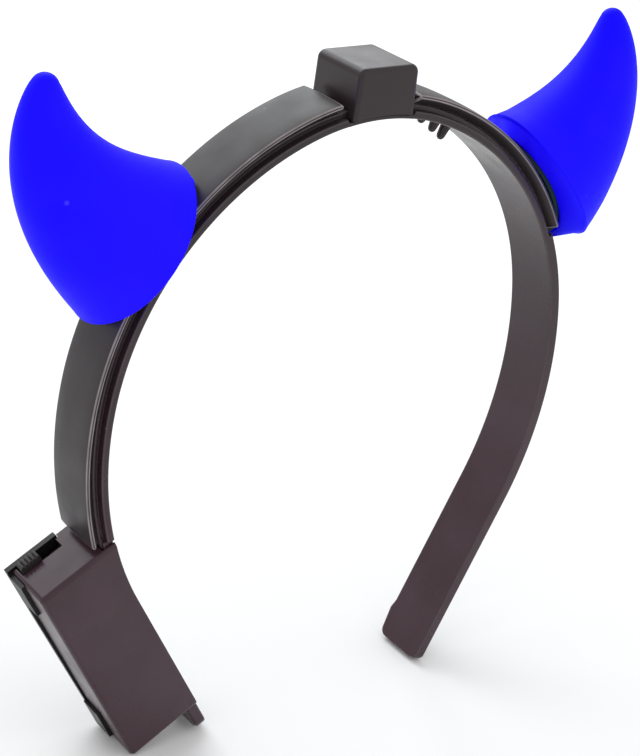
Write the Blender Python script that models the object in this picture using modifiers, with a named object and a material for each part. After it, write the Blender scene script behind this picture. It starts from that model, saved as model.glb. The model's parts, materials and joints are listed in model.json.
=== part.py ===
"""Devil horns headband: a sprung plastic band that carries two hollow horns, a crown
housing and a battery box.

The band lies in the XZ plane. Its shape is the inner line that touches the head, and a
place on it is (s, y, h): s along the inner line from the crown, negative down the left
arm, y across the band with -Y the near edge, and h outwards from the inner surface.
Every length in the tables is in millimetres, and MM turns it into metres.
"""

import math

import bmesh
import bpy
from mathutils import Matrix, Vector

MM = 0.001
GAP = 0.3
Y_AXIS = Vector((0, 1, 0))

# Columns: length along the inner line, its radius, or None where it is straight
ARMS = {
    -1: ((17.9, 53.5), (73.5, 68.0), (53.8, 80.5), (48.5, None)),
    1: ((17.9, 53.5), (71.5, 69.5), (56.4, 88.5), (48.5, None)),
}
BAND_STEP = 4.5

# The strap is a flange with a narrower rib on it, and the cover caps the rib
HALF_WIDTH = 7.5
WAIST = 6.4
RIB = 5.4
FLANGE_THICK = 1.8
STRAP_THICK = 2.95
PLAIN_THICK = 3.2
EDGE_CUT = 0.4

# Columns: half width and height of the cover's outline, from its foot to its crest
COVER_OUTLINE = ((5.2, 3.25), (7.25, 4.75), (7.4, 5.15), (7.0, 5.5), (6.2, 5.65), (3.0, 5.75))
COVER_TOP = 5.75
WIRE_CHANNEL = (3.0, 4.3)
COVER_RIGHT_END = 70.0

CROWN_HALF_TOP = 7.4
CROWN_HALF_FOOT = 8.6
CROWN_HALF_Y = 7.6
CROWN_TOP = 12.15
CROWN_ROUND = 1.3
CROWN_WALL = 1.7

BOX_FOOT = 5.9
BOX_LENGTH = 58.1
BOX_TOP = BOX_FOOT + BOX_LENGTH
BOX_OUT = 18.2
BOX_HALF_Y = 7.6
BOX_ROUND = 1.8
BOX_ROOM = {"along": (11.0, 58.0), "half_y": 5.8, "from_h": 6.0}
DOOR_ALONG = (7.2, 62.6)
DOOR_HALF_Y = 5.5
DOOR_SHELF = 16.7
DOOR_FACE = 18.4
PAD_HALF_Y = 4.4
# Columns: start and end along the box, height of the pad's face
DOOR_PADS = ((8.2, 17.0, 19.6), (49.5, 54.0, 19.2), (56.5, 62.3, 19.6))
PAD_SLOPE = 0.9

SLOT_H = (3.9, 13.5)
SLOT_Y = (2.9, 6.3)
SLOT_DEPTH = 2.6
KNOB_LENGTH = 5.2
KNOB_PROUD = 1.8
KNOB_RIBS = 4
RIB_DEPTH = 0.45

# Columns: place along the band, length of the tooth
COMB_TEETH = ((15.4, 3.4), (18.8, 4.2), (22.2, 5.3))
TOOTH_RADIUS = 1.05
TOOTH_TIP = 0.7

HORN_PLACES = {"horn_left": -61.3, "horn_right": 58.1}
HORN_BASE = 7.3
HORN_LENGTH = 48.0
HORN_HALF_ALONG = 19.7
HORN_HALF_ACROSS = 16.2
HORN_BEND = math.radians(63)
HORN_BEND_POWER = 1.54
HORN_SWEEP_BACK = math.radians(7.5)
HORN_TAPER = 0.887
HORN_BELLY = 0.095
HORN_TIP = 2.15
HORN_WALL = 1.6
HORN_HOLLOW = 0.84
HORN_LIP = 0.7
HORN_RINGS = 15
HORN_SIDES = 28

SOCKET_PLATE = (18.6, 15.1, 1.0)
SOCKET_BOSS = (15.0, 11.6, 2.4)
PEDESTAL_HALF_LENGTH = 16.5
PEDESTAL_HALF_Y = 6.9
PEDESTAL_DEPTH = 7.0

LEVEL_ROUNDS = 4


def arm_length(side):
    return sum(length for length, radius in ARMS[side])


LEFT_END = -arm_length(-1)
RIGHT_END = arm_length(1)


def band_frame(s):
    """Point on the inner line and the outward direction there, both in the XZ plane."""
    side = -1 if s < 0 else 1
    x = z = turn = 0.0
    to_go = abs(s)
    for length, radius in ARMS[side]:
        last = radius is None
        run = to_go if last else min(to_go, length)
        if last:
            x += run * math.cos(turn)
            z -= run * math.sin(turn)
        else:
            after = turn + run / radius
            x += radius * (math.sin(after) - math.sin(turn))
            z += radius * (math.cos(after) - math.cos(turn))
            turn = after
        to_go -= run
        if to_go <= 0:
            break
    return Vector((side * x, 0, z)), Vector((side * math.sin(turn), 0, math.cos(turn)))


def band_point(s, y, h):
    point, out = band_frame(s)
    return (point + out * h + Y_AXIS * y) * MM


def stations(start, end, step=BAND_STEP):
    """Evenly spaced places along the band, both ends included."""
    count = max(1, math.ceil((end - start) / step))
    return [start + (end - start) * i / count for i in range(count + 1)]


def mesh_object(name, bm, matrix=None):
    mesh = bpy.data.meshes.new(name)
    bmesh.ops.recalc_face_normals(bm, faces=bm.faces[:])
    bm.to_mesh(mesh)
    bm.free()
    made = bpy.data.objects.new(name, mesh)
    made.matrix_world = matrix or Matrix.Identity(4)
    return made


def loft(rings):
    """Closed skin through rings of equally many points, with a flat face at each end."""
    bm = bmesh.new()
    rows = [[bm.verts.new(p) for p in ring] for ring in rings]
    for row, after in zip(rows, rows[1:]):
        for i in range(len(row)):
            j = (i + 1) % len(row)
            bm.faces.new((row[i], row[j], after[j], after[i]))
    bm.faces.new(rows[0])
    bm.faces.new(rows[-1][::-1])
    return bm


def sweep(section, start, end, step=BAND_STEP):
    """A section of (y, h) points carried along the band."""
    return loft([[band_point(s, y, h) for y, h in section] for s in stations(start, end, step)])


def block(x_range, y_range, z_range):
    """A box between two corners, in the object's own axes."""
    bm = bmesh.new()
    bmesh.ops.create_cube(bm, size=1)
    lows, highs = zip(x_range, y_range, z_range)
    for v in bm.verts:
        for axis in range(3):
            v.co[axis] = (highs[axis] if v.co[axis] > 0 else lows[axis]) * MM
    return bm


def prism(outline, y_range):
    """An (x, z) outline drawn out along Y."""
    bm = bmesh.new()
    face = bm.faces.new([bm.verts.new((x * MM, y_range[0] * MM, z * MM)) for x, z in outline])
    grown = bmesh.ops.extrude_face_region(bm, geom=[face])["geom"]
    moved = [v for v in grown if isinstance(v, bmesh.types.BMVert)]
    bmesh.ops.translate(bm, verts=moved, vec=Y_AXIS * (y_range[1] - y_range[0]) * MM)
    return bm


def material(name, colour, roughness):
    made = bpy.data.materials.new(name)
    made.use_nodes = True
    shader = made.node_tree.nodes["Principled BSDF"]
    shader.inputs["Base Color"].default_value = (*colour, 1)
    shader.inputs["Roughness"].default_value = roughness
    shader.inputs["Metallic"].default_value = 0.0
    made.diffuse_color = (*colour, 1)
    return made


def collection(name):
    made = bpy.data.collections.new(name)
    bpy.context.scene.collection.children.link(made)
    return made


def add_part(made, colour, roughness, smooth=30):
    """Puts a sub-part in the headband's collection, with its own material and shading."""
    PARTS.objects.link(made)
    made.parent = AXIS
    made.data.materials.append(material(made.name + "_finish", colour, roughness))
    made.data.shade_smooth()
    made.data.set_sharp_from_angle(angle=math.radians(smooth))
    return made


def add_cutter(made):
    CUTTERS.objects.link(made)
    made.parent = AXIS
    made.hide_render = True
    made.display_type = "WIRE"
    return made


def boolean(part, other, operation):
    change = part.modifiers.new(operation.lower(), "BOOLEAN")
    change.operation = operation
    change.solver = "EXACT"
    change.object = add_cutter(other)


def bevel(part, width, segments=3):
    round_edges = part.modifiers.new("round_edges", "BEVEL")
    round_edges.width = width * MM
    round_edges.segments = segments
    round_edges.limit_method = "ANGLE"
    round_edges.angle_limit = math.radians(40)


def strap_rows():
    """The strap's section at each change: columns s, near and far half width, rib, flange, thickness."""
    stepped = (RIB, FLANGE_THICK, STRAP_THICK)
    waist = (WAIST - 0.6, STRAP_THICK - 0.4, STRAP_THICK)
    plain = (HALF_WIDTH - 0.7, PLAIN_THICK - 0.4, PLAIN_THICK)
    box_top = LEFT_END + BOX_TOP + 0.9
    crown = CROWN_HALF_FOOT + GAP
    wide = HALF_WIDTH
    return (
        (LEFT_END, WAIST - 1.3, WAIST - 1.3, WAIST - 1.9, *waist[1:]),
        (LEFT_END + 0.4, WAIST - 0.4, WAIST - 0.4, WAIST - 1.0, *waist[1:]),
        (LEFT_END + 1.4, WAIST, WAIST, *waist),
        (box_top, WAIST, WAIST, *waist),
        (box_top + 0.4, wide, wide, *stepped),
        (-crown - 0.4, wide, wide, *stepped),
        (-crown, WAIST, WAIST, *waist),
        (crown, WAIST, WAIST, *waist),
        (crown + 0.4, wide, wide, *stepped),
        (COVER_RIGHT_END + 0.3, wide, wide, *stepped),
        (COVER_RIGHT_END + 0.9, wide, wide, *plain),
        (RIGHT_END - 10.0, wide, wide, *plain),
        (RIGHT_END - 7.4, wide, wide + 0.6, *plain),
        (RIGHT_END - 1.4, wide - 0.1, wide, *plain),
        (RIGHT_END - 0.4, wide - 0.5, wide - 0.4, wide - 1.2, *plain[1:]),
        (RIGHT_END, wide - 1.4, wide - 1.2, wide - 2.0, *plain[1:]),
    )


def strap_section(near, far, rib, flange, thick):
    cut = EDGE_CUT
    return (
        (-near, cut), (-near, flange - cut), (-near + cut, flange), (-rib, flange),
        (-rib, thick), (rib, thick), (rib, flange), (far - cut, flange),
        (far, flange - cut), (far, cut), (far - cut, 0), (-near + cut, 0),
    )


def make_strap():
    rings = []
    rows = strap_rows()
    for row, after in zip(rows, rows[1:]):
        places = stations(row[0], after[0])[:-1]
        for s in places:
            share = (s - row[0]) / (after[0] - row[0])
            values = [a + (b - a) * share for a, b in zip(row[1:], after[1:])]
            rings.append([band_point(s, y, h) for y, h in strap_section(*values)])
    rings.append([band_point(rows[-1][0], y, h) for y, h in strap_section(*rows[-1][1:])])
    strap = add_part(mesh_object("strap", loft(rings)), (0.022, 0.017, 0.019), 0.42)
    for i, (s, length) in enumerate(COMB_TEETH):
        root, out = band_frame(s)
        bm = bmesh.new()
        depth = length + FLANGE_THICK / 2
        bmesh.ops.create_cone(
            bm, cap_ends=True, segments=10, radius1=TOOTH_TIP * MM, radius2=TOOTH_RADIUS * MM, depth=depth * MM
        )
        turn = out.to_track_quat("Z", "Y").to_matrix().to_4x4()
        middle = (root + out * (FLANGE_THICK / 2 - depth / 2)) * MM
        tooth = mesh_object(f"comb_tooth_{i + 1}", bm, Matrix.Translation(middle) @ turn)
        boolean(strap, tooth, "UNION")
    return strap


def make_cover(name, start, end):
    outline = list(COVER_OUTLINE)
    left = [(-y, h) for y, h in outline]
    right = [(y, h) for y, h in reversed(outline)]
    channel, roof = WIRE_CHANNEL
    foot = outline[0][1]
    under = [(channel, foot), (channel, roof), (-channel, roof), (-channel, foot)]
    section = left + [(0.0, COVER_TOP)] + right + under
    return add_part(mesh_object(name, sweep(section, start, end)), (0.024, 0.019, 0.021), 0.36)


def band_tunnel(name, start, end):
    """What the waisted strap needs: its own passage, and everything inside the inner line."""
    wide, room, roof, inside = 12.0, WAIST + GAP, STRAP_THICK + GAP, -8.0
    section = (
        (-wide, inside), (wide, inside), (wide, 0), (room, 0),
        (room, roof), (-room, roof), (-room, 0), (-wide, 0),
    )
    return mesh_object(name, sweep(section, start, end, 3.0))


def make_crown_housing():
    """A rounded block with drafted ends that straddles the waist of the strap."""
    half_foot, half_top = CROWN_HALF_FOOT, CROWN_HALF_TOP
    bm = block((-half_foot, half_foot), (-CROWN_HALF_Y, CROWN_HALF_Y), (-2.5, CROWN_TOP))
    for v in bm.verts:
        if v.co.z > 0:
            v.co.x *= half_top / half_foot
    housing = add_part(mesh_object("crown_housing", bm), (0.026, 0.021, 0.022), 0.38)
    bevel(housing, CROWN_ROUND)
    boolean(housing, band_tunnel("crown_tunnel", -14, 14), "DIFFERENCE")
    room_x, room_y = half_top - CROWN_WALL, WAIST - 0.5
    room = block((-room_x, room_x), (-room_y, room_y), (1, CROWN_TOP - CROWN_WALL))
    boolean(housing, mesh_object("crown_room", room), "DIFFERENCE")
    return housing


def box_matrix():
    """Axes of the battery box: +X up along the straight end of the left arm, +Z outwards."""
    foot, out = band_frame(LEFT_END)
    up = Vector((out.z, 0, -out.x))
    axes = Matrix((up, Y_AXIS, out)).transposed()
    return Matrix.Translation(foot * MM) @ axes.to_4x4()


def make_battery_box():
    place = box_matrix()
    shell = block((BOX_FOOT, BOX_TOP), (-BOX_HALF_Y, BOX_HALF_Y), (-3.5, BOX_OUT))
    box = add_part(mesh_object("battery_box", shell, place), (0.026, 0.020, 0.022), 0.38)
    bevel(box, BOX_ROUND)
    boolean(box, band_tunnel("box_tunnel", LEFT_END - 2, LEFT_END + BOX_TOP + 12), "DIFFERENCE")
    half_y = BOX_ROOM["half_y"]
    recess_along = (DOOR_ALONG[0] - GAP, DOOR_ALONG[1] + GAP)
    cuts = {
        "battery_room": (BOX_ROOM["along"], (-half_y, half_y), (BOX_ROOM["from_h"], BOX_OUT + 2)),
        "door_recess": (recess_along, (-half_y, half_y), (DOOR_SHELF, BOX_OUT + 2)),
        "switch_slot": ((BOX_TOP - SLOT_DEPTH, BOX_TOP + 2), SLOT_Y, SLOT_H),
    }
    for name, ranges in cuts.items():
        boolean(box, mesh_object(name, block(*ranges), place), "DIFFERENCE")
    return box


def make_battery_door():
    place = box_matrix()
    start, end = DOOR_ALONG
    floor = DOOR_SHELF + GAP
    outline = [(start, DOOR_FACE), (start, floor), (end, floor), (end, DOOR_FACE)]
    for low, high, face in reversed(DOOR_PADS):
        outline += [(high, DOOR_FACE), (high - PAD_SLOPE, face), (low + PAD_SLOPE, face), (low, DOOR_FACE)]
    plate = mesh_object("battery_door", prism(outline, (-DOOR_HALF_Y, DOOR_HALF_Y)), place)
    door = add_part(plate, (0.017, 0.014, 0.015), 0.45)
    for side in (-1, 1):
        beside = sorted((side * PAD_HALF_Y, side * (DOOR_HALF_Y + 1)))
        trim = block((start - 1, end + 1), beside, (DOOR_FACE, BOX_OUT + 4))
        boolean(door, mesh_object(f"door_edge_{'near' if side < 0 else 'far'}", trim, place), "DIFFERENCE")
    return door


def make_switch_knob():
    """A ribbed slider in the slot of the box's upper end, at the outer end of its travel."""
    y_range = (SLOT_Y[0] + GAP, SLOT_Y[1] - GAP)
    middle_y = sum(y_range) / 2
    outer = SLOT_H[1] - GAP
    centre = outer - KNOB_LENGTH / 2
    crest = BOX_TOP + KNOB_PROUD
    half = KNOB_LENGTH / 2
    outline = [(BOX_TOP - SLOT_DEPTH + GAP, half), (BOX_TOP - SLOT_DEPTH + GAP, -half)]
    outline.append((crest - RIB_DEPTH, -half))
    pitch = KNOB_LENGTH / KNOB_RIBS
    for i in range(KNOB_RIBS):
        low = -half + i * pitch
        outline += [(crest, low + pitch * 0.25), (crest, low + pitch * 0.6)]
        outline.append((crest - RIB_DEPTH, low + pitch))
    half_y = (y_range[1] - y_range[0]) / 2
    place = box_matrix() @ Matrix.Translation(Vector((0, middle_y, centre)) * MM)
    return add_part(mesh_object("switch_knob", prism(outline, (-half_y, half_y)), place), (0.03, 0.024, 0.025), 0.5)


def horn_matrix(place):
    """Axes of a horn: +Z out of the band, +X along the band towards the crown."""
    foot, out = band_frame(place)
    side = -1 if place < 0 else 1
    up_band = Vector((-side * out.z, 0, side * out.x))
    across = out.cross(up_band)
    axes = Matrix((up_band, across, out)).transposed()
    return Matrix.Translation((foot + out * HORN_BASE) * MM) @ axes.to_4x4()


def horn_line(side, count=60):
    """Centre line of a horn as (share, point, direction), bending towards the crown."""
    back = -side * math.sin(HORN_SWEEP_BACK)
    lean = Vector((math.cos(HORN_SWEEP_BACK), back, 0))
    point = Vector((0, 0, 0))
    line = []
    for i in range(count + 1):
        share = i / count
        angle = HORN_BEND * share**HORN_BEND_POWER
        direction = Vector((0, 0, math.cos(angle))) + lean * math.sin(angle)
        line.append((share, point.copy(), direction))
        point = point + direction * (HORN_LENGTH / count)
    return line, lean


def horn_ring(point, direction, lean, half_along, half_across):
    across = Vector((-lean.y, lean.x, 0))
    along = across.cross(direction)
    ring = []
    for i in range(HORN_SIDES):
        angle = math.tau * i / HORN_SIDES
        offset = along * (half_along * math.cos(angle)) + across * (half_across * math.sin(angle))
        ring.append((point + offset) * MM)
    return ring


def horn_size(share):
    full = (1 - share) ** HORN_TAPER * (1 + HORN_BELLY * share)
    return HORN_HALF_ALONG * full + HORN_TIP * share, HORN_HALF_ACROSS * full + HORN_TIP * share


def make_horn(name, place):
    """A curved hollow shell, open at its foot, with a rounded tip and a rolled lip."""
    line, lean = horn_line(-1 if place < 0 else 1)
    count = len(line) - 1
    picks = [round(count * (i / HORN_RINGS) ** 1.15) for i in range(HORN_RINGS + 1)]
    outer = []
    for i in sorted(set(picks)):
        share, point, direction = line[i]
        half_along, half_across = horn_size(share)
        if i == 0:
            outer.append(horn_ring(point, direction, lean, half_along - HORN_LIP, half_across - HORN_LIP))
            point = point + direction * HORN_LIP
        outer.append(horn_ring(point, direction, lean, half_along, half_across))
    share, point, direction = line[-1]
    for angle in (30, 60, 80):
        reach, radius = math.sin(math.radians(angle)), math.cos(math.radians(angle))
        tip = point + direction * (HORN_TIP * reach)
        outer.append(horn_ring(tip, direction, lean, HORN_TIP * radius, HORN_TIP * radius))
    inner = []
    for i in sorted(set(picks)):
        share, point, direction = line[i]
        if share <= HORN_HOLLOW:
            half_along, half_across = horn_size(share)
            wall = HORN_WALL + (HORN_LIP if i == 0 else 0)
            inner.append(horn_ring(point, direction, lean, half_along - wall, half_across - wall))
    horn = mesh_object(name, loft(outer[::-1] + inner), horn_matrix(place))
    return add_part(horn, (0.012, 0.006, 0.85), 0.38, smooth=60)


def ellipse_plate(half_along, half_across, low, high, sides=32):
    bm = bmesh.new()
    bmesh.ops.create_cone(bm, cap_ends=True, segments=sides, radius1=1, radius2=1, depth=1)
    for v in bm.verts:
        v.co = Vector((v.co.x * half_along, v.co.y * half_across, high if v.co.z > 0 else low)) * MM
    return bm


def make_socket(name, place):
    """The plate that closes a horn's foot, its boss inside the horn and its saddle on the cover."""
    axes = horn_matrix(place)
    half_along, half_across, thick = SOCKET_PLATE
    plate = ellipse_plate(half_along, half_across, -GAP - thick, -GAP)
    socket = add_part(mesh_object(name, plate, axes), (0.018, 0.015, 0.016), 0.45)
    boss_along, boss_across, boss_high = SOCKET_BOSS
    boss = ellipse_plate(boss_along, boss_across, -GAP - thick / 2, boss_high)
    boolean(socket, mesh_object(name + "_boss", boss, axes), "UNION")
    half = PEDESTAL_HALF_LENGTH
    saddle = block((-half, half), (-PEDESTAL_HALF_Y, PEDESTAL_HALF_Y), (-PEDESTAL_DEPTH, -GAP - thick / 2))
    boolean(socket, mesh_object(name + "_saddle", saddle, axes), "UNION")
    wide, deep, roof = 25.0, -10.0, COVER_TOP + GAP
    under = sweep(((-wide, deep), (wide, deep), (wide, roof), (-wide, roof)), place - 30, place + 30, 3.0)
    boolean(socket, mesh_object(name + "_seat", under), "DIFFERENCE")
    return socket


def placed_points():
    """Every vertex of the finished sub-parts, in world space."""
    bpy.context.view_layer.update()
    graph = bpy.context.evaluated_depsgraph_get()
    points = []
    for part in PARTS.objects:
        shown = part.evaluated_get(graph)
        points += [shown.matrix_world @ v.co for v in shown.data.vertices]
    return points


def stand_up():
    """Turns the band until its two feet are level, and puts the origin under its middle."""
    for _ in range(LEVEL_ROUNDS):
        points = placed_points()
        left_foot, right_foot = (
            min((p for p in points if side * p.x > 0), key=lambda p: p.z) for side in (-1, 1)
        )
        across = right_foot - left_foot
        AXIS.rotation_euler.y += math.atan2(across.z, across.x)
    points = placed_points()
    low = Vector([min(p[i] for p in points) for i in range(3)])
    high = Vector([max(p[i] for p in points) for i in range(3)])
    AXIS.location = -Vector(((low.x + high.x) / 2, (low.y + high.y) / 2, low.z))


for old in list(bpy.data.objects):
    bpy.data.objects.remove(old, do_unlink=True)

PARTS = collection("devil_horns_headband")
CUTTERS = collection("cutters")
AXIS = bpy.data.objects.new("headband_axis", None)
PARTS.objects.link(AXIS)

make_strap()
make_cover("cover_left", LEFT_END + BOX_TOP + 0.9, -CROWN_HALF_FOOT - GAP)
make_cover("cover_right", CROWN_HALF_FOOT + GAP, COVER_RIGHT_END)
make_crown_housing()
make_battery_box()
make_battery_door()
make_switch_knob()
for horn_name, horn_place in HORN_PLACES.items():
    make_horn(horn_name, horn_place)
    make_socket(horn_name.replace("horn", "socket"), horn_place)
PARTS.objects.unlink(AXIS)
bpy.context.scene.collection.objects.link(AXIS)
stand_up()
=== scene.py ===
"""Looks of the devil horns headband: a fine version of every sub-part, their finishes, and
a pale studio.

A place on the band is (s, y, h) in millimetres: s along the inner line from the crown,
negative down the left arm, y across the band with -Y the near edge, and h outwards from
the inner surface.
"""

import json
import math

import bmesh
import bpy
from mathutils import Matrix, Vector


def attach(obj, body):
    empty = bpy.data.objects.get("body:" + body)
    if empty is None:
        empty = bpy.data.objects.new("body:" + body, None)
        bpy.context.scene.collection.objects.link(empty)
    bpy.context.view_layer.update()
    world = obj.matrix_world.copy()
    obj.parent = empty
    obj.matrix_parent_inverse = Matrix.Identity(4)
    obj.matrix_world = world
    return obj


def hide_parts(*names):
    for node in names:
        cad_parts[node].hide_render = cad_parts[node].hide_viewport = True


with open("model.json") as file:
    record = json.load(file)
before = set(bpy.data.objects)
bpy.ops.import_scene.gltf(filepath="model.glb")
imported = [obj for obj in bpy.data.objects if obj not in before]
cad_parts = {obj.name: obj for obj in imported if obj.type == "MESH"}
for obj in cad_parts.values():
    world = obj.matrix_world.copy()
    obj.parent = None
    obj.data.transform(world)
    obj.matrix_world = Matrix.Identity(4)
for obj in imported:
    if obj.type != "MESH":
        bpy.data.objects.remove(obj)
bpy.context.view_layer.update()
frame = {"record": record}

MM = 0.001
GAP = 0.3
Y_AXIS = Vector((0, 1, 0))

# Columns: length along the inner line, its radius, or None where it is straight
ARMS = {
    -1: ((17.9, 53.5), (73.5, 68.0), (53.8, 80.5), (48.5, None)),
    1: ((17.9, 53.5), (71.5, 69.5), (56.4, 88.5), (48.5, None)),
}
STEP = 1.3

# Share of a side that a corner's rounding may take, and the steps of a rounding
CORNER_SHARE = 0.45
CORNER_STEPS = 4
# Corners with a larger radius than this get no painted highlight
HIGHLIGHT_RADIUS = 1.2
# How far a cutting body reaches past the piece that it cuts
PAST = 2

HALF_WIDTH = 7.5
WAIST = 6.4
RIB = 5.4
FLANGE_THICK = 1.8
STRAP_THICK = 2.95
PLAIN_THICK = 3.2
# What is taken off the outer edges of the waisted and the plain section, across and in height
WAIST_CHAMFER = (0.6, 0.4)
PLAIN_CHAMFER = (0.7, 0.4)
STRAP_EDGE = 0.5
STRAP_NOTCH = 0.2
STEP_RUN = 0.4
PLAIN_RUN = 0.6
# The far side swells a little before the right end: its start, its crest, and by how much
SWELL_START = 10.0
SWELL_CREST = 7.4
SWELL = 0.6
TAB_RADIUS = 2.6
TAB_REACH = 1.8
END_RADIUS = 2.0
END_STEPS = 8

# Columns: half width, height and corner radius of the cover's outline, from foot to crest
COVER_OUTLINE = ((5.2, 3.02, 0.15), (7.4, 4.8, 0.3), (7.15, 5.48, 0.45), (4.6, 5.68, 2.0))
COVER_TOP = 5.75
COVER_CREST_ROUND = 2.2
# Half width and roof of the channel for the wire, and its corner radius
WIRE_CHANNEL = (3.0, 4.3)
CHANNEL_ROUND = 0.1
COVER_END_ROUND = 0.7
COVER_END_STEPS = 4
COVER_LEFT_END = -10.2
COVER_RIGHT_START = 9.1
COVER_RIGHT_END = 70.0

CROWN_MIDDLE = -0.3
CROWN_HALF_TOP = 8.1
CROWN_HALF_FOOT = 8.5
CROWN_HALF_Y = 8.2
CROWN_FOOT = -2.5
CROWN_TOP = 12.15
CROWN_SHOULDER = 1.9
CROWN_ROUND = 1.1
# The strap's flange runs on under the housing's side walls, thinner there
CROWN_LEDGE = 0.9
# Reach of the passage for the strap: along the band each way, across it, and inwards
CROWN_TUNNEL = 14
TUNNEL_HALF = 12.0
TUNNEL_INSIDE = -8.0

# Along the box from its foot, and outwards from the band's inner line
BOX_FOOT = 7.5
BOX_TOP = 66.4
BOX_OUT_FOOT = 20.0
BOX_OUT_TOP = 18.9
BOX_HALF_Y = 7.6
BOX_INNER = -3.5
BOX_ROUND = 1.15
BOX_WALL = 1.8
BOX_FLOOR = 6.0
BOX_SWITCH_WALL = 5.0
BOX_TUNNEL_PAST = 12
BOX_TO_COVER = 0.9

# The battery door is a slab on the box's far side, with two clips over its outer wall
DOOR_SEAT_Y = 5.9
DOOR_SEAT_H = 5.7
DOOR_Y = (6.2, 7.7)
DOOR_ALONG = (7.8, 66.9)
DOOR_OUT_FOOT = 20.4
DOOR_OUT_TOP = 19.7
DOOR_CORNER = 1.8
DOOR_CLIPS = ((9.4, 18.4), (56.0, 65.8))
DOOR_ROUND = 0.3
CLIP_FROM_Y = 0.4
CLIP_SINK = 0.5
CLIP_THICK = 1.1
CLIP_OVERLAP = 0.5

SLOT_H = (6.6, 17.5)
SLOT_Y = (2.7, 5.9)
SLOT_DEPTH = 2.6
KNOB_LENGTH = 5.2
KNOB_PROUD = 1.8
KNOB_RIBS = 5
RIB_DEPTH = 0.5
# Where a rib's crest starts and ends, as shares of the pitch
RIB_CREST = (0.25, 0.6)
KNOB_ROUND = 0.12

# Columns: place along the band, length of the tooth
COMB_TEETH = ((18.2, 2.0), (22.6, 3.0), (26.3, 3.7))
TOOTH_RADIUS = 1.15
# Columns: height over the inner surface, radius there as a share of the tooth's
TOOTH_ROOT = ((0.4, 1.5), (0.0, 1.35), (-0.35, 1.08))
TOOTH_TIP = 0.95
TOOTH_NECK = 1.05
TOOTH_TIP_RINGS = 6
TOOTH_SIDES = 20

HORN_PLACES = {"horn_left": -60.3, "horn_right": 59.6}
# Per side: degrees the horn leans towards the crown, and towards the back
HORN_LEANS = {-1: (0.9, 4.3), 1: (4.6, 8.0)}
HORN_BASE = 8.1
HORN_LENGTH = 44.8
HORN_HALF_ALONG = 19.2
HORN_HALF_ACROSS = 16.1
HORN_BEND = math.radians(60.7)
HORN_BEND_POWER = 1.54
# Share of its length over which that lean sets in, so its foot lies flat on the socket
HORN_TILT_SHARE = 0.15
HORN_TAPER = 0.893
HORN_BELLY = 0.09
HORN_TIP = 2.7
TIP_START = math.radians(26)
HORN_SADDLE = 1.0
SADDLE_FADE = 0.35
# Half length and half width of the opening in the horn's floor
HORN_OPENING = (9.0, 6.0)
# The skirt under the horn's rim comes down to the cover: its half length, half width and wall
HORN_SKIRT = (18.3, 8.8, 1.3)
SKIRT_DROP = 150.0
SKIRT_LIFT = 0.8
SKIRT_TOP = -0.05
HORN_WALL = 1.6
HORN_LIP = 0.7
HORN_RINGS = 64
HORN_SIDES = 80
LIP_RINGS = 5
TIP_RINGS = 8
INNER_STEP = 4
LEAST_HOLLOW = 1.0

# Half length, half width and thickness of the flange inside the horn
SOCKET_FLANGE = (13.0, 10.0, 1.6)
SADDLE_HALF = (16.2, 7.0)
SADDLE_THICK = 1.4
SADDLE_DEPTH = 7.0
SADDLE_RINGS = (0.04, 0.3, 0.6, 0.85, 1.0)
SADDLE_SIDES = 96
# Part of a side by which the neck and the saddle are turned, so no two outlines share points
NECK_TURN = 0.5
SADDLE_TURN = 0.25
SEAT_REACH = 30.0
SEAT_DEEP = -10.0
SOCKET_ROUND = 0.3

# The camera, in the band's own axes
CAMERA_TARGET = Vector((-0.002077, 0, -0.065982))
CAMERA_AZIMUTH = math.radians(-39.703)
CAMERA_ELEVATION = math.radians(25.805)
CAMERA_ROLL = math.radians(7.535)
CAMERA_DISTANCE = 0.443721
CAMERA_LENS = 89.9
CAMERA_CLIP = (0.01, 20)

PURPLE_BLACK = (0.040, 0.017, 0.025)
PURPLE_GREY = (0.052, 0.026, 0.036)
PAINTED_SHADE_BLACK = (0.022, 0.017, 0.018)
COVER_BLACK = (0.022, 0.016, 0.018)
COVER_GREY = (0.032, 0.024, 0.027)
DUST = (0.22, 0.21, 0.21)
# Columns: finish, its two tints, the tint of the highlight painted on its rounded edges, roughness, how
# strongly that highlight is painted
PLASTICS = (
    ("band_plastic", PURPLE_BLACK, PURPLE_GREY, (0.10, 0.09, 0.095), 0.28, 0.6),
    ("cover_plastic", COVER_BLACK, COVER_GREY, (0.44, 0.38, 0.39), 0.4, 0.8),
    ("housing_plastic", PURPLE_BLACK, PURPLE_GREY, (0.42, 0.36, 0.38), 0.3, 0.85),
    ("door_plastic", (0.004, 0.004, 0.004), (0.008, 0.007, 0.007), (0.03, 0.03, 0.03), 0.42, 0.6),
    ("knob_plastic", (0.016, 0.013, 0.013), (0.025, 0.02, 0.02), (0.08, 0.07, 0.07), 0.45, 0.6),
    # The sockets' dark green is painted: the tinted shade of the gap under each horn; their own plastic
    # is black
    ("socket_plastic", (0.004, 0.07, 0.010), (0.006, 0.10, 0.016), (0.02, 0.12, 0.03), 0.45, 0.6),
)
# Heights between which painted shade turns the plastic darker and greyer, and how far it turns
PAINTED_SHADE_HEIGHTS = (0.06, 0.15)
PAINTED_SHADE_SHARE = 0.8
PLASTIC_SPECULAR = 0.36

HORN_BLUE = (0.003, 0.0, 0.93)
HORN_BLUE_LIT = (0.012, 0.002, 1.0)
HORN_SPECK = (0.09, 0.07, 1.0)
HORN_GLOW = (0.004, 0.0, 1.0, 1)
HORN_GLOW_STRENGTH = 0.22
HORN_SPECULAR = 0.08

FLOOR_RADIUS = 4.0
FLOOR_SIDES = 96
PAPER_TINTS = ((0.90, 0.90, 0.90), (0.93, 0.93, 0.93))
WHITE = (1, 1, 1)
WORLD_STRENGTH = 0.8
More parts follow.
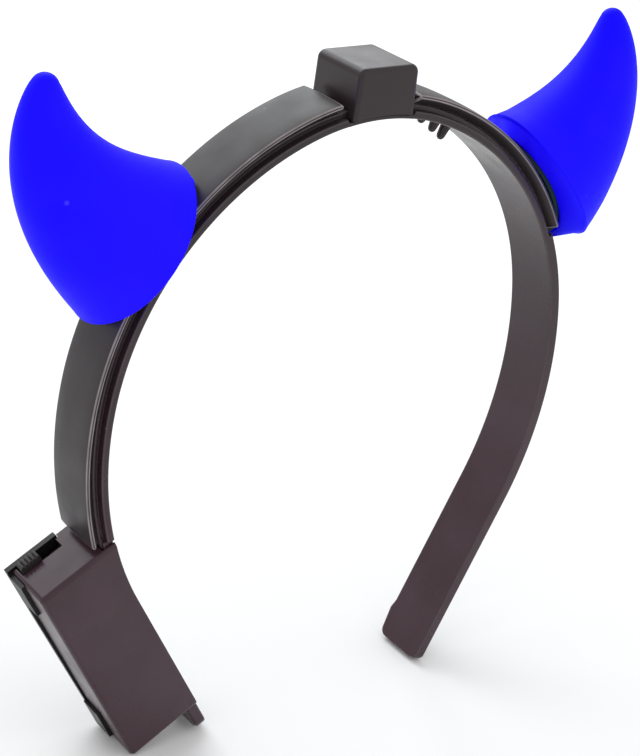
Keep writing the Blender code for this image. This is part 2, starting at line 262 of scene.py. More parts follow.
# Columns: light, place, size, radiance, tint
LIGHTS = (
    ("top_back_panel", (0.15, 0.75, 0.75), (1.1, 0.7), 2.6, (0.93, 0.98, 1.0)),
    ("left_panel", (-0.9, -0.1, 0.6), (0.6, 0.6), 0.25, WHITE),
    ("front_panel", (0.3, -1.0, 0.7), (0.8, 0.6), 0.7, WHITE),
)


def arm_length(side):
    return sum(length for length, radius in ARMS[side])


LEFT_END = -arm_length(-1)
RIGHT_END = arm_length(1)
STRAP_WIDENS = LEFT_END + BOX_TOP + BOX_TO_COVER


def band_axes():
    """The band's own axes, read from the mount on top of the crown housing."""
    crown = next(m for m in frame["record"]["mounts"] if m["name"] == "crown_top")
    out = Vector(crown["axis"]).normalized()
    along = Y_AXIS.cross(out)
    axes = Matrix((along, Y_AXIS, out)).transposed()
    return Matrix.Translation(Vector(crown["pos_m"]) - out * CROWN_TOP * MM) @ axes.to_4x4()


def band_frame(s):
    """Point on the inner line and the outward direction there, both in the band's own axes."""
    side = -1 if s < 0 else 1
    x = z = turn = 0.0
    to_go = abs(s)
    for length, radius in ARMS[side]:
        last = radius is None
        run = to_go if last else min(to_go, length)
        if last:
            x += run * math.cos(turn)
            z -= run * math.sin(turn)
        else:
            after = turn + run / radius
            x += radius * (math.sin(after) - math.sin(turn))
            z += radius * (math.cos(after) - math.cos(turn))
            turn = after
        to_go -= run
        if to_go <= 0:
            break
    return Vector((side * x, 0, z)), Vector((side * math.sin(turn), 0, math.cos(turn)))


def band_point(s, y, h):
    point, out = band_frame(s)
    return (point + out * h + Y_AXIS * y) * MM


def stations(start, end):
    """Evenly spaced places along the band, both ends included."""
    count = max(1, math.ceil((end - start) / STEP))
    return [start + (end - start) * i / count for i in range(count + 1)]


def rounded(corners):
    """Turns (y, h, radius) corners into (y, h, highlight) points, highlight being 1 on an outer edge,
    where a highlight is painted.
    """
    points = []
    turning = sum(
        a[0] * b[1] - b[0] * a[1] for a, b in zip(corners, corners[1:] + corners[:1])
    )
    for i, (y, h, radius) in enumerate(corners):
        here = Vector((y, h))
        before = Vector(corners[i - 1][:2]) - here
        after = Vector(corners[(i + 1) % len(corners)][:2]) - here
        reach = min(radius, CORNER_SHARE * before.length, CORNER_SHARE * after.length)
        start, end = here + before.normalized() * reach, here + after.normalized() * reach
        cross = after.x * before.y - after.y * before.x
        outer = cross * turning > 0 and radius <= HIGHLIGHT_RADIUS
        for j in range(CORNER_STEPS + 1):
            t = j / CORNER_STEPS
            p = start * (1 - t) ** 2 + here * (2 * t * (1 - t)) + end * t**2
            points.append((p.x, p.y, math.sin(math.pi * t) if outer else 0.0))
    return points


def inset(outline, amount):
    """The outline moved inwards by an amount, point by point."""
    area = sum(a[0] * b[1] - b[0] * a[1] for a, b in zip(outline, outline[1:] + outline[:1]))
    side = 1 if area > 0 else -1
    moved = []
    for i, (y, h, highlight) in enumerate(outline):
        before, after = outline[i - 1], outline[(i + 1) % len(outline)]
        along = Vector((after[0] - before[0], after[1] - before[1])).normalized()
        moved.append((y - along.y * side * amount, h + along.x * side * amount, highlight))
    return moved


def skin(rings):
    """Closed skin through rings of (point, highlight) pairs, highlight being the share of painted edge
    highlight, with a flat face at each end.
    """
    bm = bmesh.new()
    painted_highlight = bm.verts.layers.float.new("painted_highlight")
    rows = []
    for ring in rings:
        row = []
        for point, highlight in ring:
            v = bm.verts.new(point)
            v[painted_highlight] = highlight
            row.append(v)
        rows.append(row)
    for row, after in zip(rows, rows[1:]):
        for i in range(len(row)):
            j = (i + 1) % len(row)
            bm.faces.new((row[i], row[j], after[j], after[i]))
    bm.faces.new(rows[0])
    bm.faces.new(rows[-1][::-1])
    return bm


def band_ring(s, outline, least_highlight=0.0):
    return [(band_point(s, y, h), max(highlight, least_highlight)) for y, h, highlight in outline]


def round_end(s, outline, inwards):
    """Rings that round a cover off at s, inwards being the sign of the way into the cover, with a
    highlight painted along the rounding.
    """
    rings = []
    for i in range(COVER_END_STEPS):
        angle = math.pi / 2 * i / COVER_END_STEPS
        back = COVER_END_ROUND * (1 - math.sin(angle))
        place = s + inwards * COVER_END_ROUND * (1 - math.cos(angle))
        rings.append(band_ring(place, inset(outline, back), math.sin(2 * angle)))
    return rings


def mesh_object(name, bm, matrix=None):
    mesh = bpy.data.meshes.new(name)
    bmesh.ops.recalc_face_normals(bm, faces=bm.faces[:])
    bm.to_mesh(mesh)
    bm.free()
    mesh.transform(BAND @ (matrix or Matrix.Identity(4)))
    made = bpy.data.objects.new(name, mesh)
    bpy.context.scene.collection.objects.link(made)
    return made


def block(x_range, y_range, z_range):
    """A box between two corners, in the object's own axes."""
    bm = bmesh.new()
    bmesh.ops.create_cube(bm, size=1)
    lows, highs = zip(x_range, y_range, z_range)
    for v in bm.verts:
        for axis in range(3):
            v.co[axis] = (highs[axis] if v.co[axis] > 0 else lows[axis]) * MM
    return bm


def prism(outline, y_range):
    """An (x, z) outline drawn out along Y."""
    bm = bmesh.new()
    face = bm.faces.new([bm.verts.new((x * MM, y_range[0] * MM, z * MM)) for x, z in outline])
    grown = bmesh.ops.extrude_face_region(bm, geom=[face])["geom"]
    moved = [v for v in grown if isinstance(v, bmesh.types.BMVert)]
    bmesh.ops.translate(bm, verts=moved, vec=Y_AXIS * (y_range[1] - y_range[0]) * MM)
    return bm


def boolean(piece, other, operation="DIFFERENCE"):
    """Cuts the other body out of a piece, or joins it on, and removes it."""
    change = piece.modifiers.new(operation.lower(), "BOOLEAN")
    change.operation = operation
    change.solver = "EXACT"
    change.object = other
    apply_modifiers(piece)
    bpy.data.objects.remove(other)


def bevel(piece, width, segments=5, angle=40):
    """Rounds a piece's edges, and gives the faces of the rounding its second material slot."""
    while len(piece.data.materials) < 2:
        piece.data.materials.append(None)
    edges = piece.modifiers.new("round_edges", "BEVEL")
    edges.width = width * MM
    edges.segments = segments
    edges.limit_method = "ANGLE"
    edges.angle_limit = math.radians(angle)
    edges.material = 1
    apply_modifiers(piece)


def apply_modifiers(piece):
    graph = bpy.context.evaluated_depsgraph_get()
    mesh = bpy.data.meshes.new_from_object(piece.evaluated_get(graph))
    piece.modifiers.clear()
    piece.data = mesh


def mark_painted_highlight(piece):
    """Sets the painted edge highlight to 1 at the vertices that lie inside a rounding, from its
    material slot.
    """
    mesh = piece.data
    flat = {v for face in mesh.polygons if face.material_index == 0 for v in face.vertices}
    painted_highlight = mesh.attributes.new("painted_highlight", "FLOAT", "POINT")
    for i in range(len(mesh.vertices)):
        painted_highlight.data[i].value = 0.0 if i in flat else 1.0
    for face in mesh.polygons:
        face.material_index = 0


def finish_piece(piece, finish, replaced, body="headband", smooth=35, even=True):
    """Gives a piece its finish and shading, and puts it on its body in place of the plain one."""
    piece.data.materials.clear()
    piece.data.materials.append(finish)
    piece.data.shade_smooth()
    piece.data.set_sharp_from_angle(angle=math.radians(smooth))
    if even:
        weighted = piece.modifiers.new("even_shading", "WEIGHTED_NORMAL")
        weighted.keep_sharp = True
    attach(piece, body)
    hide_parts(replaced)


def node(tree, kind, inputs=None, **settings):
    """Adds a shader node; an input is a value or the socket that feeds it."""
    made = tree.nodes.new(kind)
    for name, value in settings.items():
        setattr(made, name, value)
    for name, value in (inputs or {}).items():
        if isinstance(value, bpy.types.NodeSocket):
            tree.links.new(value, made.inputs[name])
        else:
            made.inputs[name].default_value = value
    return made


def noise(tree, scale, detail):
    """Noise in the object's own space, with its scale in lumps a metre."""
    where = node(tree, "ShaderNodeTexCoord").outputs["Object"]
    values = {"Vector": where, "Scale": scale, "Detail": detail}
    return node(tree, "ShaderNodeTexNoise", values).outputs["Fac"]


def spread(tree, value, low, high, to_low, to_high):
    """Maps a value's range to another, clamped."""
    values = {"Value": value, "From Min": low, "From Max": high, "To Min": to_low, "To Max": to_high}
    return node(tree, "ShaderNodeMapRange", values).outputs["Result"]


def multiply(tree, a, b):
    return node(tree, "ShaderNodeMath", {0: a, 1: b}, operation="MULTIPLY").outputs[0]


def blend(tree, share, a, b):
    """Mixes two colours, b's part being share."""
    made = tree.nodes.new("ShaderNodeMix")
    made.data_type = "RGBA"
    for socket, value in ((made.inputs[0], share), (made.inputs[6], a), (made.inputs[7], b)):
        if isinstance(value, bpy.types.NodeSocket):
            tree.links.new(value, socket)
        else:
            socket.default_value = value if isinstance(value, float) else (*value, 1)
    return made.outputs[2]


def specks(tree, scale, radius, share):
    """Sparse round specks: 1 inside a speck, with this share of the cells having one."""
    where = node(tree, "ShaderNodeTexCoord").outputs["Object"]
    cells = node(tree, "ShaderNodeTexVoronoi", {"Vector": where, "Scale": scale})
    dot = spread(tree, cells.outputs["Distance"], radius * 0.5, radius, 1.0, 0.0)
    chosen = spread(tree, cells.outputs["Color"], 1 - share - 0.02, 1 - share, 0.0, 1.0)
    return multiply(tree, dot, chosen)


def moulded_plastic(name, colour, lit, edge, roughness, highlight_share):
    """Satin moulded plastic: mottled between two tints, dusty, with painted shade that makes it darker
    and greyer towards the top, and painted highlights on its rounded edges.
    """
    made = bpy.data.materials.new(name)
    made.use_nodes = True
    tree = made.node_tree
    shader = tree.nodes["Principled BSDF"]
    tint = blend(tree, spread(tree, noise(tree, 55, 4), 0.35, 0.65, 0.0, 1.0), colour, lit)
    # Painted shade: darker and greyer towards the top
    where = node(tree, "ShaderNodeTexCoord").outputs["Object"]
    height = node(tree, "ShaderNodeSeparateXYZ", {0: where}).outputs["Z"]
    tint = blend(tree, spread(tree, height, *PAINTED_SHADE_HEIGHTS, 0.0, PAINTED_SHADE_SHARE), tint, PAINTED_SHADE_BLACK)
    # Painted highlight: a paler tint on the rounded edges, broken up by noise
    edge_highlight_mask = node(tree, "ShaderNodeAttribute", attribute_name="painted_highlight").outputs["Fac"]
    broken = spread(tree, noise(tree, 210, 3), 0.3, 0.7, highlight_share * 0.6, highlight_share)
    tint = blend(tree, multiply(tree, edge_highlight_mask, broken), tint, edge)
    tint = blend(tree, multiply(tree, specks(tree, 420, 0.11, 0.12), 0.45), tint, DUST)
    tree.links.new(tint, shader.inputs["Base Color"])
    polish = spread(tree, noise(tree, 130, 4), 0.3, 0.7, roughness - 0.05, roughness + 0.07)
    tree.links.new(polish, shader.inputs["Roughness"])
    fine = node(
        tree, "ShaderNodeBump",
        {"Strength": 0.12, "Distance": 0.00006, "Height": noise(tree, 3200, 2)},
    )
    tree.links.new(fine.outputs["Normal"], shader.inputs["Normal"])
    shader.inputs["Specular IOR Level"].default_value = PLASTIC_SPECULAR
    return made


def horn_vinyl():
    """Soft blue vinyl with a satin skin, cloudy shading and a few pale specks."""
    made = bpy.data.materials.new("horn_vinyl")
    made.use_nodes = True
    tree = made.node_tree
    shader = tree.nodes["Principled BSDF"]
    cloud = spread(tree, noise(tree, 26, 3), 0.38, 0.62, 0.0, 1.0)
    tint = blend(tree, cloud, HORN_BLUE, HORN_BLUE_LIT)
    tint = blend(tree, multiply(tree, specks(tree, 130, 0.09, 0.14), 0.5), tint, HORN_SPECK)
    tree.links.new(tint, shader.inputs["Base Color"])
    polish = spread(tree, noise(tree, 70, 4), 0.3, 0.7, 0.5, 0.62)
    tree.links.new(polish, shader.inputs["Roughness"])
    fine = node(
        tree, "ShaderNodeBump",
        {"Strength": 0.1, "Distance": 0.00008, "Height": noise(tree, 1900, 3)},
    )
    soft = node(
        tree, "ShaderNodeBump",
        {"Strength": 0.25, "Distance": 0.0006, "Height": noise(tree, 90, 2), "Normal": fine.outputs[0]},
    )
    tree.links.new(soft.outputs["Normal"], shader.inputs["Normal"])
    shader.inputs["Specular IOR Level"].default_value = HORN_SPECULAR
    shader.inputs["Emission Color"].default_value = HORN_GLOW
    shader.inputs["Emission Strength"].default_value = HORN_GLOW_STRENGTH
    return made


def strap_rows():
    """The strap's section at each change: place, near and far half width, rib, flange, thickness."""
    wide = HALF_WIDTH
    stepped = (wide, wide, RIB, FLANGE_THICK, STRAP_THICK)
    across, down = WAIST_CHAMFER
    waist = (WAIST, WAIST, WAIST - across, STRAP_THICK - down, STRAP_THICK)
    across, down = PLAIN_CHAMFER
    plain = (wide, wide, wide - across, PLAIN_THICK - down, PLAIN_THICK)
    ledge = (wide, wide, RIB, CROWN_LEDGE, STRAP_THICK)
    tab = LEFT_END - TAB_REACH
    left, right = CROWN_MIDDLE - CROWN_HALF_FOOT - GAP, CROWN_MIDDLE + CROWN_HALF_FOOT + GAP
    cover_end = COVER_RIGHT_END + GAP
    rows = [(tab + d, *narrowed(waist, d, TAB_RADIUS)) for d in end_places(TAB_RADIUS)]
    rows += [
        (STRAP_WIDENS, *waist), (STRAP_WIDENS + STEP_RUN, *stepped),
        (left - STEP_RUN, *stepped), (left, *ledge), (right, *ledge), (right + STEP_RUN, *stepped),
        (cover_end, *stepped), (cover_end + PLAIN_RUN, *plain), (RIGHT_END - SWELL_START, *plain),
    ]
    swollen = (wide, wide + SWELL, *plain[2:])
    rows.append((RIGHT_END - SWELL_CREST, *swollen))
    places = end_places(END_RADIUS)[::-1]
    rows += [(RIGHT_END - d, *narrowed(plain, d, END_RADIUS)) for d in places]
    return rows


def end_places(radius):
    """Distances from a rounded end, closer together towards it."""
    angles = [math.pi / 2 * i / END_STEPS for i in range(END_STEPS + 1)]
    return [radius * (1 - math.cos(angle)) for angle in angles]


def narrowed(values, distance, radius):
    """A strap section whose sides come in by a corner's rounding."""
    near, far, rib, flange, thick = values
    drawn_in = radius - math.sqrt(max(0.0, radius**2 - (radius - min(distance, radius)) ** 2))
    return near - drawn_in, far - drawn_in, rib - drawn_in, flange, thick


def strap_outline(near, far, rib, flange, thick):
    edge, notch = min(STRAP_EDGE, 0.4 * flange), STRAP_NOTCH
    return rounded([
        (-near, 0.0, edge), (far, 0.0, edge), (far, flange, edge), (rib, flange, notch),
        (rib, thick, edge), (-rib, thick, edge), (-rib, flange, notch), (-near, flange, edge),
    ])


def tooth_rings(s, length):
    """A blunt tooth on the inner surface: a flared root, a slight taper and a round tip."""
    root, out = band_frame(s)
    along = Y_AXIS.cross(out)
    profile = [(h, TOOTH_RADIUS * share) for h, share in TOOTH_ROOT]
    profile.append((-length + TOOTH_TIP, TOOTH_TIP * TOOTH_NECK))
    for i in range(1, TOOTH_TIP_RINGS):
        angle = math.pi / 2 * i / TOOTH_TIP_RINGS
        profile.append((-length + TOOTH_TIP * (1 - math.sin(angle)), TOOTH_TIP * math.cos(angle)))
    rings = []
    for h, radius in profile:
        ring = []
        for i in range(TOOTH_SIDES):
            angle = math.tau * i / TOOTH_SIDES
            side = along * math.cos(angle) + Y_AXIS * math.sin(angle)
            ring.append(((root + out * h + side * radius) * MM, 0.0))
        rings.append(ring)
    return rings


def join(piece, others):
    """Joins other mesh objects into a piece."""
    for other in others:
        bm = bmesh.new()
        bm.from_mesh(piece.data)
        bm.from_mesh(other.data)
        bm.to_mesh(piece.data)
        bm.free()
        bpy.data.objects.remove(other)


def make_strap(finish):
    rows = strap_rows()
    rings = []
    for row, after in zip(rows, rows[1:]):
        for s in stations(row[0], after[0])[:-1]:
            share = (s - row[0]) / (after[0] - row[0])
            values = [a + (b - a) * share for a, b in zip(row[1:], after[1:])]
            rings.append(band_ring(s, strap_outline(*values)))
    rings.append(band_ring(rows[-1][0], strap_outline(*rows[-1][1:])))
    strap = mesh_object("strap_band", skin(rings))
    teeth = [mesh_object(f"tooth_{i}", skin(tooth_rings(*row))) for i, row in enumerate(COMB_TEETH)]
    join(strap, teeth)
    finish_piece(strap, finish, "strap")


def cover_outline():
    left = [(-y, h, r) for y, h, r in COVER_OUTLINE]
    right = [(y, h, r) for y, h, r in reversed(COVER_OUTLINE)]
    channel, roof = WIRE_CHANNEL
    foot = COVER_OUTLINE[0][1]
    places = ((channel, foot), (channel, roof), (-channel, roof), (-channel, foot))
    under = [(y, h, CHANNEL_ROUND) for y, h in places]
    return rounded(left + [(0.0, COVER_TOP, COVER_CREST_ROUND)] + right + under)


def make_cover(name, start, end, finish):
    outline = cover_outline()
    rings = round_end(start, outline, 1)
    inner = stations(start + COVER_END_ROUND, end - COVER_END_ROUND)
    rings += [band_ring(s, outline) for s in inner]
    rings += round_end(end, outline, -1)[::-1]
    cover = mesh_object(name + "_shell", skin(rings))
    finish_piece(cover, finish, name, even=False)


def band_tunnel(name, start, end, room, ledge=0.0):
    """What the strap needs: a passage of that half width, and everything inside the ledge."""
    wide, roof, inside = TUNNEL_HALF, STRAP_THICK + GAP, TUNNEL_INSIDE
    section = (
        (-wide, inside), (wide, inside), (wide, ledge), (room, ledge),
        (room, roof), (-room, roof), (-room, ledge), (-wide, ledge),
    )
    rings = [[(band_point(s, y, h), 0.0) for y, h in section] for s in stations(start, end)]
    return mesh_object(name, skin(rings))


def make_crown_housing(finish):
    """A rounded block with drafted ends and broad shoulders that straddles the strap."""
    middle, half_foot, half_top = CROWN_MIDDLE, CROWN_HALF_FOOT, CROWN_HALF_TOP
    outline = (
        (middle - half_foot, CROWN_FOOT), (middle + half_foot, CROWN_FOOT),
        (middle + half_top, CROWN_TOP), (middle - half_top, CROWN_TOP),
    )
    bm = prism(outline, (-CROWN_HALF_Y, CROWN_HALF_Y))
    shoulders = [
        e for e in bm.edges
        if all(v.co.z > 0 for v in e.verts) and abs(e.verts[0].co.y - e.verts[1].co.y) > MM
    ]
    bmesh.ops.bevel(
        bm, geom=shoulders, offset=CROWN_SHOULDER * MM, segments=8, profile=0.5, affect="EDGES"
    )
    housing = mesh_object("crown_case", bm)
    bevel(housing, CROWN_ROUND, segments=6, angle=45)
    ends = (-CROWN_TUNNEL, CROWN_TUNNEL)
    boolean(housing, band_tunnel("crown_tunnel", *ends, RIB + GAP, CROWN_LEDGE + GAP))
    mark_painted_highlight(housing)
    finish_piece(housing, finish, "crown_housing")


def box_matrix():
    """Axes of the battery box: +X up along the straight end of the left arm, +Z outwards."""
    foot, out = band_frame(LEFT_END)
    up = Vector((out.z, 0, -out.x))
    axes = Matrix((up, Y_AXIS, out)).transposed()
    return Matrix.Translation(foot * MM) @ axes.to_4x4()


def box_out(along):
    """Height of the tapered outer wall at a place along the box."""
    return BOX_OUT_FOOT + (BOX_OUT_TOP - BOX_OUT_FOOT) * (along - BOX_FOOT) / (BOX_TOP - BOX_FOOT)


def tapered(start, end, floor, depth):
    """An outline along the box from a floor up to that depth under the outer wall."""
    outer = [(along, box_out(along) - depth) for along in (end, start)]
    return ((start, floor), (end, floor), *outer)


def make_battery_box(finish):
    place = box_matrix()
    shell = prism(tapered(BOX_FOOT, BOX_TOP, BOX_INNER, 0), (-BOX_HALF_Y, BOX_HALF_Y))
    box = mesh_object("battery_case", shell, place)
    bevel(box, BOX_ROUND, segments=8)
    ends = (LEFT_END - PAST, LEFT_END + BOX_TOP + BOX_TUNNEL_PAST)
    boolean(box, band_tunnel("box_tunnel", *ends, WAIST + GAP))
    beyond, above = BOX_HALF_Y + PAST, BOX_OUT_FOOT + PAST
    room = tapered(BOX_FOOT + BOX_WALL, BOX_TOP - BOX_SWITCH_WALL, BOX_FLOOR, BOX_WALL)
    seat = block((BOX_FOOT - PAST, BOX_TOP + PAST), (DOOR_SEAT_Y, beyond), (DOOR_SEAT_H, above))
    slot = block((BOX_TOP - SLOT_DEPTH, BOX_TOP + PAST), (SLOT_Y[0], beyond), SLOT_H)
    cuts = [seat, prism(room, (-BOX_HALF_Y + BOX_WALL, beyond)), slot]
    for start, end in DOOR_CLIPS:
        outline = [(start - GAP, box_out(start) - CLIP_SINK), (end + GAP, box_out(end) - CLIP_SINK)]
        outline += [(end + GAP, above), (start - GAP, above)]
        cuts.append(prism(outline, (CLIP_FROM_Y - GAP, beyond)))
    for i, part in enumerate(cuts):
        boolean(box, mesh_object(f"box_cut_{i}", part, place))
    mark_painted_highlight(box)
    finish_piece(box, finish, "battery_box")


def make_battery_door(finish):
    place = box_matrix()
    start, end = DOOR_ALONG
    floor = DOOR_SEAT_H + GAP
    outline = (
        (start, floor), (end, floor), (end, DOOR_OUT_TOP),
        (start + DOOR_CORNER, DOOR_OUT_FOOT), (start, DOOR_OUT_FOOT - DOOR_CORNER),
    )
    door = mesh_object("door_panel", prism(outline, DOOR_Y), place)
    low = CLIP_SINK - GAP
    high = low - CLIP_THICK
    for i, (start, end) in enumerate(DOOR_CLIPS):
        outline = (
            (start, box_out(start) - low), (end, box_out(end) - low),
            (end, box_out(end) - high), (start, box_out(start) - high),
        )
        body = prism(outline, (CLIP_FROM_Y, DOOR_Y[0] + CLIP_OVERLAP))
        boolean(door, mesh_object(f"door_clip_{i}", body, place), "UNION")
    bevel(door, DOOR_ROUND, segments=3)
    mark_painted_highlight(door)
    finish_piece(door, finish, "battery_door")


def make_switch_knob(finish):
    """A ribbed slider in the slot of the box's upper end, at the outer end of its travel."""
    y_range = (SLOT_Y[0] + GAP, SLOT_Y[1] - GAP)
    middle_y = sum(y_range) / 2
    centre = SLOT_H[1] - GAP - KNOB_LENGTH / 2
    crest = BOX_TOP + KNOB_PROUD
    half = KNOB_LENGTH / 2
    foot = BOX_TOP - SLOT_DEPTH + GAP
    outline = [(foot, half), (foot, -half), (crest - RIB_DEPTH, -half)]
    pitch = KNOB_LENGTH / KNOB_RIBS
    for i in range(KNOB_RIBS):
        low = -half + i * pitch
        outline += [(crest, low + pitch * share) for share in RIB_CREST]
        outline.append((crest - RIB_DEPTH, low + pitch))
    half_y = (y_range[1] - y_range[0]) / 2
    place = box_matrix() @ Matrix.Translation(Vector((0, middle_y, centre)) * MM)
    knob = mesh_object("slide_knob", prism(outline, (-half_y, half_y)), place)
    bevel(knob, KNOB_ROUND, segments=3, angle=30)
    mark_painted_highlight(knob)
    finish_piece(knob, finish, "switch_knob", "switch")


def horn_matrix(place):
    """Axes of a horn: +Z out of the band, +X along the band towards the crown."""
    foot, out = band_frame(place)
    side = -1 if place < 0 else 1
    up_band = Vector((-side * out.z, 0, side * out.x))
    across = out.cross(up_band)
    axes = Matrix((up_band, across, out)).transposed()
    return Matrix.Translation((foot + out * HORN_BASE) * MM) @ axes.to_4x4()


def horn_line(place, count):
    """Centre line of a horn as (share, point, direction), bending towards the crown."""
    side = -1 if place < 0 else 1
    tilt, sweep_back = (math.radians(angle) for angle in HORN_LEANS[side])
    lean = Vector((math.cos(sweep_back), -side * math.sin(sweep_back), 0))
    point = Vector((0, 0, 0))
    line = []
    for i in range(count + 1):
        share = i / count
        angle = tilt * min(1, share / HORN_TILT_SHARE) + HORN_BEND * share**HORN_BEND_POWER
        direction = Vector((0, 0, math.cos(angle))) + lean * math.sin(angle)
        line.append((share, point.copy(), direction))
        point = point + direction * (HORN_LENGTH / count)
    return line, lean


def horn_ring(share, point, direction, lean, half_along, half_across, highlight=0.0):
    """Points round a horn, lower on its near and far sides close to the foot."""
    across = Vector((-lean.y, lean.x, 0))
    along = across.cross(direction)
    fade = max(0, 1 - share / SADDLE_FADE) ** 2
    drop = HORN_SADDLE * fade * (half_across / HORN_HALF_ACROSS) ** 2
    ring = []
    for i in range(HORN_SIDES):
        angle = math.tau * i / HORN_SIDES
        offset = along * (half_along * math.cos(angle)) + across * (half_across * math.sin(angle))
        offset.z -= drop * math.sin(angle) ** 2
        ring.append(((point + offset) * MM, highlight))
    return ring


def horn_size(share):
    full = (1 - share) ** HORN_TAPER * (1 + HORN_BELLY * share)
    return HORN_HALF_ALONG * full + HORN_TIP * share, HORN_HALF_ACROSS * full + HORN_TIP * share


def skirt_ring(inwards, at_foot):
    """Points round the skirt's foot, which follows the cover, or round its top inside the horn."""
    half_along, half_across, wall = HORN_SKIRT
    ring = []
    for i in range(HORN_SIDES):
        angle = math.tau * i / HORN_SIDES
        x = (half_along - inwards * wall) * math.cos(angle)
        y = (half_across - inwards * wall) * math.sin(angle)
        z = SKIRT_TOP
        if at_foot:
            z = COVER_TOP + GAP + SKIRT_LIFT - HORN_BASE - x**2 / SKIRT_DROP
        ring.append((Vector((x, y, z)) * MM, 0.0))
    return ring


def make_horn(name, place, finish):
    """A curved hollow shell with a rounded tip, whose floor has an opening for the socket's neck."""
    line, lean = horn_line(place, HORN_RINGS)
    outer = [skirt_ring(1, False), skirt_ring(1, True), skirt_ring(0, True)]
    foot, up = line[0][1:]
    half_along, half_across = horn_size(0)
    for i in range(LIP_RINGS):
        angle = math.pi / 2 * i / LIP_RINGS
        back, rise = HORN_LIP * (1 - math.sin(angle)), HORN_LIP * (1 - math.cos(angle))
        sizes = half_along - back, half_across - back
        outer.append(horn_ring(0, foot + up * rise, up, lean, *sizes, math.sin(2 * angle)))
    for share, point, direction in line[1:]:
        outer.append(horn_ring(share, point, direction, lean, *horn_size(share)))
    ball = HORN_TIP / math.cos(TIP_START)
    for i in range(1, TIP_RINGS):
        angle = TIP_START + (math.pi / 2 - TIP_START) * i / TIP_RINGS
        radius = ball * math.cos(angle)
        tip = point + direction * (ball * (math.sin(angle) - math.sin(TIP_START)))
        outer.append(horn_ring(1, tip, direction, lean, radius, radius))
    floor = foot + up * HORN_WALL
    inner = [horn_ring(0, height, up, lean, *HORN_OPENING) for height in (foot, floor)]
    inner.append(horn_ring(0, floor, up, lean, half_along - HORN_WALL, half_across - HORN_WALL))
    for share, point, direction in line[INNER_STEP::INNER_STEP]:
        sizes = [half - HORN_WALL for half in horn_size(share)]
        if sizes[1] > LEAST_HOLLOW and point.z > HORN_WALL:
            inner.append(horn_ring(share, point, direction, lean, *sizes))
    horn = mesh_object(name + "_skin", skin(outer[::-1] + inner), horn_matrix(place))
    finish_piece(horn, finish, name, smooth=60)


def saddle_plate(half_along, half_across, low, high, turn=0.0):
    """An elliptical plate that drapes over the band as the horn's foot does."""
    rings = []
    for height, order in ((high, SADDLE_RINGS), (low, SADDLE_RINGS[::-1])):
        for share in order:
            ring = []
            for i in range(SADDLE_SIDES):
                angle = math.tau * (i + turn) / SADDLE_SIDES
                x, y = half_along * share * math.cos(angle), half_across * share * math.sin(angle)
                sunk = HORN_SADDLE * (y / HORN_HALF_ACROSS) ** 2
                ring.append((Vector((x, y, height - sunk)) * MM, 0.0))
            rings.append(ring)
    return skin(rings)


def make_socket(name, place, finish):
    """A saddle on the cover, with a neck through the horn's floor and a flange that holds it."""
    axes = horn_matrix(place)
    half_along, half_across, thick = SOCKET_FLANGE
    floor = HORN_WALL + GAP
    flange = saddle_plate(half_along, half_across, floor, floor + thick)
    socket = mesh_object(name + "_foot", flange, axes)
    neck_along, neck_across = (half - GAP for half in HORN_OPENING)
    low, high = -GAP - SADDLE_THICK / 2, floor + thick / 2
    neck = saddle_plate(neck_along, neck_across, low, high, NECK_TURN)
    boolean(socket, mesh_object(name + "_neck", neck, axes), "UNION")
    saddle = saddle_plate(*SADDLE_HALF, -SADDLE_DEPTH, -GAP, SADDLE_TURN)
    boolean(socket, mesh_object(name + "_saddle", saddle, axes), "UNION")
    wide, deep, roof = HALF_WIDTH + GAP, SEAT_DEEP, COVER_TOP + GAP
    corners = ((-wide, deep), (wide, deep), (wide, roof), (-wide, roof))
    rings = [
        [(band_point(s, y, h), 0.0) for y, h in corners]
        for s in stations(place - SEAT_REACH, place + SEAT_REACH)
    ]
    boolean(socket, mesh_object(name + "_seat", skin(rings)))
    bevel(socket, SOCKET_ROUND, segments=3)
    mark_painted_highlight(socket)
    finish_piece(socket, finish, name)


def aim(thing, target):
    thing.rotation_mode = "QUATERNION"
    thing.rotation_quaternion = (target - thing.location).to_track_quat("-Z", "Y")


def soft_light(name, location, size, radiance, colour):
    """A square light panel that faces the headband, as bright as its radiance says."""
    data = bpy.data.lights.new(name, "AREA")
    data.shape = "RECTANGLE"
    data.size, data.size_y = size
    data.energy = radiance * math.pi * size[0] * size[1]
    data.color = colour
    light = bpy.data.objects.new(name, data)
    bpy.context.scene.collection.objects.link(light)
    light.location = location
    aim(light, BAND @ CAMERA_TARGET)


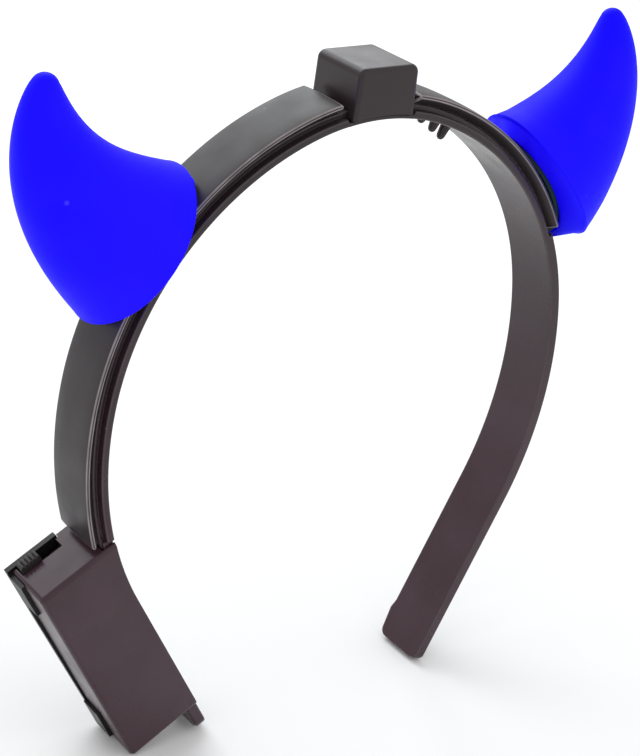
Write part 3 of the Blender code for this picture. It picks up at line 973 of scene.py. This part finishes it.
def make_camera():
    a, e, r = CAMERA_AZIMUTH, CAMERA_ELEVATION, CAMERA_ROLL
    back = Vector((math.sin(a) * math.cos(e), -math.cos(a) * math.cos(e), math.sin(e)))
    level = Vector((math.cos(a), math.sin(a), 0))
    above = back.cross(level)
    right = level * math.cos(r) + above * math.sin(r)
    up = above * math.cos(r) - level * math.sin(r)
    data = bpy.data.cameras.new("photo_camera")
    data.lens = CAMERA_LENS
    data.clip_start, data.clip_end = CAMERA_CLIP
    camera = bpy.data.objects.new("photo_camera", data)
    bpy.context.scene.collection.objects.link(camera)
    camera.matrix_world = (
        BAND @ Matrix.Translation(CAMERA_TARGET + back * CAMERA_DISTANCE)
        @ Matrix((right, up, back)).transposed().to_4x4()
    )
    bpy.context.scene.camera = camera


def make_floor():
    bm = bmesh.new()
    bmesh.ops.create_circle(bm, cap_ends=True, segments=FLOOR_SIDES, radius=FLOOR_RADIUS)
    mesh = bpy.data.meshes.new("floor")
    bm.to_mesh(mesh)
    bm.free()
    floor = bpy.data.objects.new("floor", mesh)
    bpy.context.scene.collection.objects.link(floor)
    paper = bpy.data.materials.new("pale_paper")
    paper.use_nodes = True
    tree = paper.node_tree
    shader = tree.nodes["Principled BSDF"]
    tint = blend(tree, noise(tree, 6, 3), *PAPER_TINTS)
    tree.links.new(tint, shader.inputs["Base Color"])
    shader.inputs["Roughness"].default_value = 0.9
    shader.inputs["Specular IOR Level"].default_value = 0.1
    mesh.materials.append(paper)


def make_studio():
    world = bpy.data.worlds.new("studio")
    bpy.context.scene.world = world
    world.use_nodes = True
    background = world.node_tree.nodes["Background"]
    background.inputs["Color"].default_value = (*WHITE, 1)
    background.inputs["Strength"].default_value = WORLD_STRENGTH
    for row in LIGHTS:
        soft_light(*row)
    bpy.context.scene.view_settings.view_transform = "Standard"


BAND = band_axes()

plastics = {row[0]: moulded_plastic(*row) for row in PLASTICS}
vinyl = horn_vinyl()

make_strap(plastics["band_plastic"])
make_cover("cover_left", STRAP_WIDENS, COVER_LEFT_END, plastics["cover_plastic"])
make_cover("cover_right", COVER_RIGHT_START, COVER_RIGHT_END, plastics["cover_plastic"])
make_crown_housing(plastics["housing_plastic"])
make_battery_box(plastics["housing_plastic"])
make_battery_door(plastics["door_plastic"])
make_switch_knob(plastics["knob_plastic"])
for horn_name, horn_place in HORN_PLACES.items():
    make_horn(horn_name, horn_place, vinyl)
    make_socket(horn_name.replace("horn", "socket"), horn_place, plastics["socket_plastic"])

make_camera()
make_floor()
make_studio()
